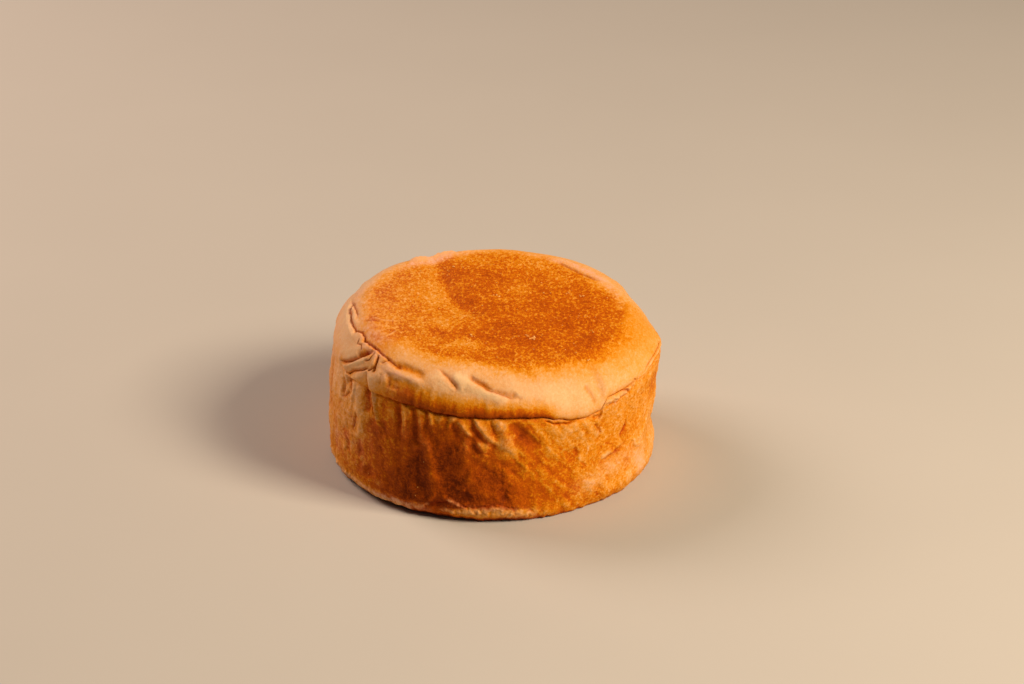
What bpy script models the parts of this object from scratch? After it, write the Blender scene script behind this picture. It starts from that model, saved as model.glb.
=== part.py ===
"""English muffin: a low round griddled bread, one solid.

A flat browned top rounds over a broad shoulder into a rim. The rim rolls over the side, which starts again
under a creased edge, hangs in soft folds and tucks in at the foot, where the bread rests on its flat base.
The turned outline is a Screw modifier; the moved points then give the bread its lean, tilt and folds.
"""

import math

import bmesh
import bpy

MM = 0.001

# Driving dimensions of the even, turned bread
TOP_HEIGHT = 42.4 * MM
FLAT_RADIUS = 34.5 * MM
RIM_RADIUS = 44.4 * MM
RIM_HEIGHT = 32.2 * MM
CREASE_RADIUS = 43.1 * MM
CREASE_HEIGHT = 30.6 * MM
MIDDLE_RADIUS = 44.4 * MM
MIDDLE_HEIGHT = 18.0 * MM
LOW_RADIUS = 44.8 * MM
LOW_HEIGHT = 6.0 * MM
FOOT_RADIUS = 42.9 * MM
SHOULDER_ROUNDNESS = 1.25
FOOT_ROUNDNESS = 0.77

# How the baked bread departs from the even one
CAP_LEAN = 1.4 * MM
TILT_ACROSS = -0.036
TILT_BACK = 0.030

# Counts of faces
STEPS = 120
FLAT_RINGS = 6
SHOULDER_RINGS = 9
WALL_RINGS = 8
FOOT_RINGS = 4
BASE_RINGS = 2

# The creased edge under the rim, going round: azimuth from the front in degrees (positive to the right),
# rise above CREASE_HEIGHT in mm, and how much of the full crease depth is there
CREASE_COURSE = (
    (-180.0, 1.6, 0.50),
    (-150.0, 2.2, 0.70),
    (-118.0, 1.4, 0.35),
    (-90.0, 1.2, 0.05),
    (-56.0, 1.0, 0.05),
    (-46.0, 0.8, 0.70),
    (-30.0, 0.1, 0.80),
    (-12.0, 0.2, 1.00),
    (8.0, 0.1, 1.00),
    (20.0, -1.2, 1.00),
    (28.0, -2.6, 0.95),
    (36.0, -2.5, 0.80),
    (41.0, 0.7, 0.60),
    (55.0, 1.1, 0.75),
    (72.0, 1.9, 0.75),
    (92.0, 1.2, 1.00),
    (120.0, 1.9, 0.60),
    (150.0, 0.6, 0.80),
    (180.0, 1.6, 0.50),
)

# Folds of the skin: azimuth in degrees and height in mm along each, then half width and depth in mm.
# A negative depth is a ridge.
FOLDS = (
    # the rim pinched away from the side at the left, high on the shoulder
    (((-40.0, 38.6), (-52.0, 40.6), (-67.0, 41.4), (-82.0, 41.7), (-98.0, 41.6)), 1.5, 1.0),
    # two wrinkles fanning down from the pinch
    (((-53.0, 40.2), (-58.0, 37.0), (-72.0, 33.2)), 1.4, 1.1),
    (((-50.0, 38.0), (-56.0, 34.9), (-65.0, 31.8)), 1.4, 1.0),
    # the puffed skin between them
    (((-53.0, 36.6), (-66.0, 35.4)), 1.8, -0.6),
    # the valley below the rounded end of the rim, and the pleat beside it
    (((-49.0, 35.0), (-47.5, 30.0), (-45.5, 23.0)), 1.6, 1.0),
    (((-42.5, 28.0), (-41.0, 20.0)), 2.2, -0.5),
    # slanting wrinkles in the rim
    (((-22.0, 40.2), (-14.5, 36.5)), 1.4, 0.45),
    (((-10.0, 39.7), (-2.0, 37.0), (6.0, 35.0)), 1.4, 0.5),
    (((-15.0, 40.0), (-7.0, 37.6), (4.0, 34.4)), 1.6, -0.45),
    # drapes hanging from the creased edge
    (((-9.0, 29.5), (-5.0, 25.6), (-2.0, 22.0)), 1.5, 0.8),
    (((-4.5, 28.6), (0.0, 25.0), (3.0, 21.8)), 1.7, -0.5),
    (((6.0, 28.6), (10.0, 24.0), (16.0, 19.6)), 2.6, 0.9),
    (((15.0, 27.0), (18.5, 20.5)), 2.2, -0.5),
    (((-24.0, 28.5), (-16.0, 9.5)), 2.6, -0.45),
    (((-31.0, 28.0), (-26.0, 12.0)), 3.0, 0.5),
    # the narrower waist at the right and the slack below it
    (((60.0, 22.0), (86.0, 19.0), (112.0, 20.0)), 7.0, 0.8),
    (((38.0, 15.0), (50.0, 17.5), (67.0, 18.5)), 2.2, 0.45),
    # the shoulder, slack at the back right and full at the far left
    (((86.0, 34.0), (105.0, 36.0), (124.0, 38.0)), 5.0, 1.4),
    (((-96.0, 34.5), (-110.0, 37.5)), 4.5, -0.4),
    # drapes at the back and the far left
    (((-84.0, 29.0), (-79.0, 14.0)), 3.0, 0.5),
    (((-112.0, 30.0), (-104.0, 17.0)), 3.2, 0.6),
    (((-143.0, 30.0), (-149.0, 19.0)), 3.0, 0.6),
    (((170.0, 30.0), (176.0, 16.0)), 3.4, 0.6),
    (((136.0, 28.5), (130.0, 17.0)), 3.0, 0.55),
    (((103.0, 29.5), (108.0, 21.0)), 2.6, 0.5),
)

# The top: a soft step runs in from the back and leaves the left of the top a little higher
TOP_STEP_HEIGHT = 0.45 * MM
TOP_STEP_X = -9.0 * MM
TOP_STEP_WIDTH = 5.0 * MM
TOP_DISH = 0.5 * MM


def smooth(t):
    """Eases 0 to 1 with level ends."""
    t = min(max(t, 0.0), 1.0)
    return t * t * (3.0 - 2.0 * t)


def turned_outline():
    """(radius, height) from the centre of the top, down the outer side, to the centre of the base."""
    points = [(0.0, TOP_HEIGHT)]
    for i in range(1, FLAT_RINGS + 1):
        points.append((FLAT_RADIUS * (i / FLAT_RINGS) ** 0.8, TOP_HEIGHT))
    for i in range(1, SHOULDER_RINGS + 1):
        turn = 0.5 * math.pi * i / SHOULDER_RINGS
        out = math.sin(turn) ** SHOULDER_ROUNDNESS
        up = max(math.cos(turn), 0.0) ** SHOULDER_ROUNDNESS
        radius = FLAT_RADIUS + (RIM_RADIUS - FLAT_RADIUS) * out
        points.append((radius, RIM_HEIGHT + (TOP_HEIGHT - RIM_HEIGHT) * up))
    lip = RIM_HEIGHT - CREASE_HEIGHT
    points.append((RIM_RADIUS - 0.1 * MM, CREASE_HEIGHT + 0.5 * lip))
    points.append((RIM_RADIUS - 0.5 * MM, CREASE_HEIGHT + 0.15 * lip))
    points.append((CREASE_RADIUS, CREASE_HEIGHT))
    points.append((CREASE_RADIUS + 0.5 * MM, CREASE_HEIGHT - 0.8 * MM))
    points.append((CREASE_RADIUS + 1.0 * MM, CREASE_HEIGHT - 1.8 * MM))
    wall_top = CREASE_HEIGHT - 3.2 * MM
    for i in range(WALL_RINGS):
        height = wall_top + (LOW_HEIGHT - wall_top) * i / (WALL_RINGS - 1)
        if height > MIDDLE_HEIGHT:
            radius = MIDDLE_RADIUS
        else:
            part = (MIDDLE_HEIGHT - height) / (MIDDLE_HEIGHT - LOW_HEIGHT)
            radius = MIDDLE_RADIUS + (LOW_RADIUS - MIDDLE_RADIUS) * smooth(part)
        points.append((radius, height))
    for i in range(1, FOOT_RINGS + 1):
        turn = 0.5 * math.pi * i / FOOT_RINGS
        radius = FOOT_RADIUS + (LOW_RADIUS - FOOT_RADIUS) * max(math.cos(turn), 0.0) ** FOOT_ROUNDNESS
        points.append((radius, LOW_HEIGHT - LOW_HEIGHT * math.sin(turn) ** FOOT_ROUNDNESS))
    for i in range(1, BASE_RINGS + 1):
        points.append((FOOT_RADIUS * (1.0 - i / (BASE_RINGS + 1.0)), 0.0))
    points.append((0.0, 0.0))
    return points


def turned_bread(collection):
    """The even bread: the outline at +X turned once about Z."""
    outline = bpy.data.meshes.new("outline")
    points = [(radius, 0.0, height) for radius, height in turned_outline()]
    outline.from_pydata(points, [(i, i + 1) for i in range(len(points) - 1)], [])
    turned = bpy.data.objects.new("muffin", outline)
    collection.objects.link(turned)
    screw = turned.modifiers.new("turn", "SCREW")
    screw.axis = "Z"
    screw.angle = math.tau
    screw.steps = STEPS
    screw.render_steps = STEPS
    screw.use_merge_vertices = True
    screw.merge_threshold = 0.00001
    bpy.context.view_layer.update()
    baked = bpy.data.meshes.new_from_object(turned.evaluated_get(bpy.context.evaluated_depsgraph_get()))
    turned.modifiers.clear()
    turned.data = baked
    bpy.data.meshes.remove(outline)
    return turned


def crease_at(azimuth):
    """(rise in metres, share of the full depth) of the creased edge at an azimuth in degrees."""
    for (start, rise_a, depth_a), (end, rise_b, depth_b) in zip(CREASE_COURSE, CREASE_COURSE[1:]):
        if azimuth <= end:
            part = smooth((azimuth - start) / (end - start))
            return (rise_a + (rise_b - rise_a) * part) * MM, depth_a + (depth_b - depth_a) * part
    return CREASE_COURSE[-1][1] * MM, CREASE_COURSE[-1][2]


def distance_to_course(azimuth, height, course):
    """Distance over the skin from a point to a line of points, all as azimuth in degrees and height."""
    along = math.radians(1.0) * RIM_RADIUS
    nearest = math.inf
    for (az_a, up_a), (az_b, up_b) in zip(course, course[1:]):
        turn = (azimuth - az_a + 180.0) % 360.0 - 180.0
        px, py = turn * along, height - up_a * MM
        dx, dy = (az_b - az_a) * along, (up_b - up_a) * MM
        part = min(max((px * dx + py * dy) / (dx * dx + dy * dy), 0.0), 1.0)
        nearest = min(nearest, math.hypot(px - part * dx, py - part * dy))
    return nearest


def fold_depth(azimuth, height):
    """How far the folds push the skin in at a point."""
    depth = 0.0
    for course, half_width, deepest in FOLDS:
        away = distance_to_course(azimuth, height, course) / (half_width * MM)
        depth += deepest * MM * math.exp(-away * away)
    return depth


def outward(radius, height):
    """Unit direction out of the even bread's skin, as (along the radius, up)."""
    if radius < 0.5 * FLAT_RADIUS or height < RIM_HEIGHT:
        return (1.0, 0.0) if height < RIM_HEIGHT else (0.0, 1.0)
    across = max(radius - FLAT_RADIUS, 0.0) / (RIM_RADIUS - FLAT_RADIUS)
    up = (height - RIM_HEIGHT) / (TOP_HEIGHT - RIM_HEIGHT)
    length = math.hypot(across, up)
    return across / length, up / length


def roundness(azimuth):
    """Slow unevenness of the outline, as a change of radius."""
    turn = math.radians(azimuth)
    return (0.20 * math.sin(3.0 * turn + 2.0) + 0.14 * math.sin(5.0 * turn + 0.6)) * MM


def baked_point(radius, azimuth, height):
    """Where the baked bread has the point that the even bread has at this radius, azimuth and height."""
    turn = math.radians(azimuth)
    side, depth = math.sin(turn), -math.cos(turn)
    rise, crease_share = crease_at(azimuth)
    edge = CREASE_HEIGHT + rise

    outer = smooth((radius - 0.8 * FLAT_RADIUS) / (RIM_RADIUS - 0.8 * FLAT_RADIUS)) if height > 0.0 else 0.0
    in_crease = max(0.0, 1.0 - abs(height - CREASE_HEIGHT) / (3.4 * MM)) * smooth(radius / FLAT_RADIUS)
    filled = (MIDDLE_RADIUS - radius) * in_crease * (1.0 - crease_share) if radius > FLAT_RADIUS else 0.0
    out, up = outward(radius, height)
    pushed_in = fold_depth(azimuth, height) * outer
    new_radius = radius + max(filled, 0.0) + roundness(azimuth) * outer - pushed_in * out

    if height >= CREASE_HEIGHT:
        part = (height - CREASE_HEIGHT) / (TOP_HEIGHT - CREASE_HEIGHT)
        top = TOP_HEIGHT + new_radius * (TILT_ACROSS * side + TILT_BACK * depth)
        new_height = edge + (top - edge) * part - pushed_in * up
    else:
        slack = smooth((height - LOW_HEIGHT) / (CREASE_HEIGHT - LOW_HEIGHT))
        new_height = height + rise * slack

    x, y = new_radius * side, new_radius * depth
    if height >= TOP_HEIGHT - 0.01 * MM:
        inner = 1.0 - smooth(radius / FLAT_RADIUS)
        new_height -= TOP_DISH * inner
        back = smooth((y + 8.0 * MM) / (30.0 * MM))
        new_height += TOP_STEP_HEIGHT * back * smooth((TOP_STEP_X - x) / TOP_STEP_WIDTH + 0.5)
    lean = CAP_LEAN * smooth((height - 20.0 * MM) / (12.0 * MM))
    return x + lean, y, new_height


def bake(bread):
    """Moves every point of the even bread, then centres the bread's box over the origin."""
    mesh = bmesh.new()
    mesh.from_mesh(bread.data)
    for vertex in mesh.verts:
        x, y, z = vertex.co
        azimuth = math.degrees(math.atan2(x, -y))
        vertex.co = baked_point(math.hypot(x, y), azimuth, z)
    for axis in (0, 1):
        values = [vertex.co[axis] for vertex in mesh.verts]
        middle = 0.5 * (min(values) + max(values))
        for vertex in mesh.verts:
            vertex.co[axis] -= middle
    bmesh.ops.recalc_face_normals(mesh, faces=mesh.faces)
    mesh.to_mesh(bread.data)
    mesh.free()


def crust_material():
    """Griddled crust: a dull golden brown skin, not metallic."""
    material = bpy.data.materials.new("crust")
    material.use_nodes = True
    shader = material.node_tree.nodes["Principled BSDF"]
    shader.inputs["Base Color"].default_value = (0.60, 0.27, 0.07, 1.0)
    shader.inputs["Roughness"].default_value = 0.62
    shader.inputs["Metallic"].default_value = 0.0
    return material


for old in list(bpy.data.objects):
    bpy.data.objects.remove(old)

english_muffin = bpy.data.collections.new("english_muffin")
bpy.context.scene.collection.children.link(english_muffin)

muffin = turned_bread(english_muffin)
bake(muffin)
muffin.data.materials.append(crust_material())
muffin.data.shade_smooth()
muffin.data.set_sharp_from_angle(angle=math.radians(50.0))
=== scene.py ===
"""English muffin: the looks of the one-piece bread, and the studio it stands in."""

import math
import random

import bmesh
import bpy
import numpy as np
from mathutils import Matrix, Vector, noise


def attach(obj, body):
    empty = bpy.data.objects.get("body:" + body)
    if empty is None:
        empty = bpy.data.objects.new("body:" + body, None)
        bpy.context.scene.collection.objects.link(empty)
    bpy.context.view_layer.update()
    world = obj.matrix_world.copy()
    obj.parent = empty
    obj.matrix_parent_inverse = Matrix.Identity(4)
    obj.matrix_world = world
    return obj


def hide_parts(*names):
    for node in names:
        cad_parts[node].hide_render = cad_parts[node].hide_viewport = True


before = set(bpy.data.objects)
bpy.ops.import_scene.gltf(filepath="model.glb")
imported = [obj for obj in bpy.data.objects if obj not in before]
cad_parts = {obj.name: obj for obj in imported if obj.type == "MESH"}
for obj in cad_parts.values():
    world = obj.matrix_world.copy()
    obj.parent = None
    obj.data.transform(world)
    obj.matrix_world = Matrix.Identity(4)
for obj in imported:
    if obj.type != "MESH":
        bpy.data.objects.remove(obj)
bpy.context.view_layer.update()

# ---------------------------------------------------------------------------------------------------------
# The bread: one risen, griddled piece of dough with a dry baked crust. It has a browned top, a rim that rolls
# over a creased edge, and a side that hangs in folds down to the foot it rests on. The even outline is turned
# round, then the baked bread's lean, tilt, folds and wrinkles move the skin.

MM = 0.001

# The even outline's radii and heights in mm; a roundness of 1 is an ellipse, and a smaller one is squarer
TOP_HEIGHT = 42.4
FLAT_RADIUS = 34.5
RIM_RADIUS = 44.4
RIM_HEIGHT = 32.2
ROLL_OUT = 1.0
ROLL_DOWN = 1.45
CREASE_RADIUS = 42.3
CREASE_HEIGHT = 30.6
SIDE_TOP_DROP = 1.7
MIDDLE_RADIUS = 44.4
MIDDLE_HEIGHT = 18.0
LOW_RADIUS = 44.8
LOW_HEIGHT = 6.0
FOOT_RADIUS = 42.9
SHOULDER_ROUNDNESS = 1.25
FOOT_ROUNDNESS = 0.77

# How the baked bread differs from it: the cap's lean to the right, the top's tilt and dish, the height of
# skin that the crease draws in, and waves round it (how deep, how many, where they start)
CAP_LEAN = 1.4
LEAN_FROM = 20.0
LEAN_FULL = 32.0
TILT_ACROSS = -0.036
TILT_BACK = 0.030
TOP_DISH = 0.5
CREASE_REACH = 3.4
WAVES = ((0.20, 3.0, 2.0), (0.14, 5.0, 0.6))

# The creased edge, going round: azimuth from the front in degrees (positive to the right), rise above
# CREASE_HEIGHT, and share of the full crease depth
CREASE_COURSE = (
    (-180, 2.2, 0.35), (-166, 0.4, 0.8), (-152, 0.8, 0.7), (-136, 2.9, 0.3), (-122, 2.2, 0.45),
    (-110, 1, 0.2), (-90, 1.2, 0.03), (-56, 1, 0.03), (-47, 0.8, 0.45), (-40, 0.8, 0.5), (-32, 0.6, 0.52),
    (-24, 0.5, 0.62), (-20.5, -0.1, 0.72), (-14, 0.1, 0.72), (6, -0.05, 0.66), (15, -0.6, 0.66),
    (21, -1.8, 0.68), (26, -2.9, 0.72), (33, -3.2, 0.72), (37.5, -2.7, 0.6), (41, 0.5, 0.22),
    (48, 0.7, 0.22), (60, 0.9, 0.25), (70, 1.7, 0.22), (82, 1.7, 0.15), (94, 0.8, 0.25), (106, -0.9, 0.75),
    (122, 0.2, 0.85), (136, 2.4, 0.5), (148, 3, 0.25), (163, 1.2, 0.65), (180, 2.2, 0.35),
)

# The foot turns under at the left front, below its lip: azimuth and how far in, and the distance over the
# skin where that starts
TUCK = ((-105, 0), (-85, 1), (-60, 1.2), (-28, 1.6), (-8, 1.1), (10, 0.5), (24, 0))
TUCK_FROM = 82.0


def ease(t):
    """Eases 0 to 1 with level ends."""
    t = np.clip(t, 0.0, 1.0)
    return t * t * (3.0 - 2.0 * t)


def degrees_from(azimuth, other):
    """Degrees from another azimuth to this one, the short way round."""
    return (azimuth - other + 180.0) % 360.0 - 180.0


def going_round(azimuth, *stops):
    """A value that changes round the bread, from stops of azimuth and value."""
    return np.interp(azimuth, *zip(*stops))


def even_outline():
    """The even outline from the top's centre to the base's: distance over the skin, radius and height."""
    quarter = np.linspace(0.0, 0.5 * math.pi, 60)
    across, up = np.sin(quarter), np.maximum(np.cos(quarter), 0.0)
    flat = (np.linspace(0.0, FLAT_RADIUS, 30), np.full(30, TOP_HEIGHT))
    shoulder = (FLAT_RADIUS + (RIM_RADIUS - FLAT_RADIUS) * across ** SHOULDER_ROUNDNESS,
                RIM_HEIGHT + (TOP_HEIGHT - RIM_HEIGHT) * up ** SHOULDER_ROUNDNESS)
    roll = (RIM_RADIUS - ROLL_OUT * (1.0 - up), RIM_HEIGHT - ROLL_DOWN * across)
    crease = (np.array([CREASE_RADIUS]), np.array([CREASE_HEIGHT]))
    side_top = (CREASE_RADIUS + (MIDDLE_RADIUS - 0.15 - CREASE_RADIUS) * across,
                CREASE_HEIGHT - 0.1 - SIDE_TOP_DROP * (1.0 - up))
    fall = np.linspace(CREASE_HEIGHT - SIDE_TOP_DROP - 1.0, LOW_HEIGHT, 60)
    slack = ease((MIDDLE_HEIGHT - fall) / (MIDDLE_HEIGHT - LOW_HEIGHT))
    side = (MIDDLE_RADIUS + (LOW_RADIUS - MIDDLE_RADIUS) * slack, fall)
    foot = (FOOT_RADIUS + (LOW_RADIUS - FOOT_RADIUS) * up ** FOOT_ROUNDNESS,
            LOW_HEIGHT - LOW_HEIGHT * across ** FOOT_ROUNDNESS)
    base = (np.linspace(FOOT_RADIUS, 0.0, 40), np.zeros(40))
    parts = (flat, shoulder, roll, crease, side_top, side, foot, base)
    radius, height = (np.concatenate(both) for both in zip(*parts))
    keep = np.concatenate([[True], np.hypot(np.diff(radius), np.diff(height)) > 1e-6])
    radius, height = radius[keep], height[keep]
    distance = np.concatenate([[0.0], np.cumsum(np.hypot(np.diff(radius), np.diff(height)))])
    return distance, radius, height


outline_s, outline_r, outline_z = even_outline()
S_RIM = float(outline_s[np.argmin(np.abs(outline_z - RIM_HEIGHT))])
S_CREASE = float(outline_s[np.argmin(np.hypot(outline_r - CREASE_RADIUS, outline_z - CREASE_HEIGHT))])
S_FOOT = float(outline_s[np.argmax(outline_z <= LOW_HEIGHT)])
S_BASE = float(outline_s[np.argmax(outline_z <= 1e-6)])
S_END = float(outline_s[-1])


def baked_skin(azimuth, s):
    """Points of the baked bread, without its wrinkles, at azimuths in degrees and distances over the skin."""
    radius = np.interp(s, outline_s, outline_r)
    height = np.interp(s, outline_s, outline_z)
    turn = np.radians(azimuth)
    side, depth = np.sin(turn), -np.cos(turn)
    stops = np.array(CREASE_COURSE)
    place = np.clip(np.searchsorted(stops[:, 0], azimuth) - 1, 0, len(stops) - 2)
    part = ease((azimuth - stops[place, 0]) / (stops[place + 1, 0] - stops[place, 0]))
    rise = stops[place, 1] + (stops[place + 1, 1] - stops[place, 1]) * part
    share = stops[place, 2] + (stops[place + 1, 2] - stops[place, 2]) * part

    near = np.clip(1.0 - np.abs(height - CREASE_HEIGHT) / CREASE_REACH, 0.0, 1.0) * (radius > FLAT_RADIUS)
    near = np.where(s > S_CREASE + 12.0, 0.0, near)
    radius = radius + np.maximum(MIDDLE_RADIUS - radius, 0.0) * near * (1.0 - share)
    outer = np.where(s > S_BASE, 0.0, ease((radius - 0.8 * FLAT_RADIUS) / (RIM_RADIUS - 0.8 * FLAT_RADIUS)))
    radius = radius + sum(deep * np.sin(count * turn + start) for deep, count, start in WAVES) * outer

    top = TOP_HEIGHT + radius * (TILT_ACROSS * side + TILT_BACK * depth)
    lifted = CREASE_HEIGHT + rise + (height - CREASE_HEIGHT) / (TOP_HEIGHT - CREASE_HEIGHT) * (
        top - CREASE_HEIGHT - rise)
    hung = height + rise * ease((height - LOW_HEIGHT) / (CREASE_HEIGHT - LOW_HEIGHT))
    lean = CAP_LEAN * ease((height - LEAN_FROM) / (LEAN_FULL - LEAN_FROM))
    height = np.where(s < S_CREASE, lifted, hung)

    tuck = going_round(azimuth, *TUCK) * ease((s - TUCK_FROM) / (S_BASE - TUCK_FROM))
    radius = radius - tuck * np.clip(1.0 - (s - S_BASE) / 8.0, 0.0, 1.0)
    x, y = radius * side, radius * depth
    inside = 1.0 - ease(s / FLAT_RADIUS)
    height = height - np.where(s < S_RIM, TOP_DISH * inside, 0.0)
    return np.stack([x + lean, y, height], -1)


# The long dent that runs in from the back of the top: azimuth in degrees, distance over the skin in mm
DENT = ((-149, 34.5), (-147.8, 32.3), (-144.3, 26.8), (-137.2, 20.7), (-124.2, 15.7), (-107.6, 11.4),
        (-83, 8.5), (-58, 6.4), (-20, 6))

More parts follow.
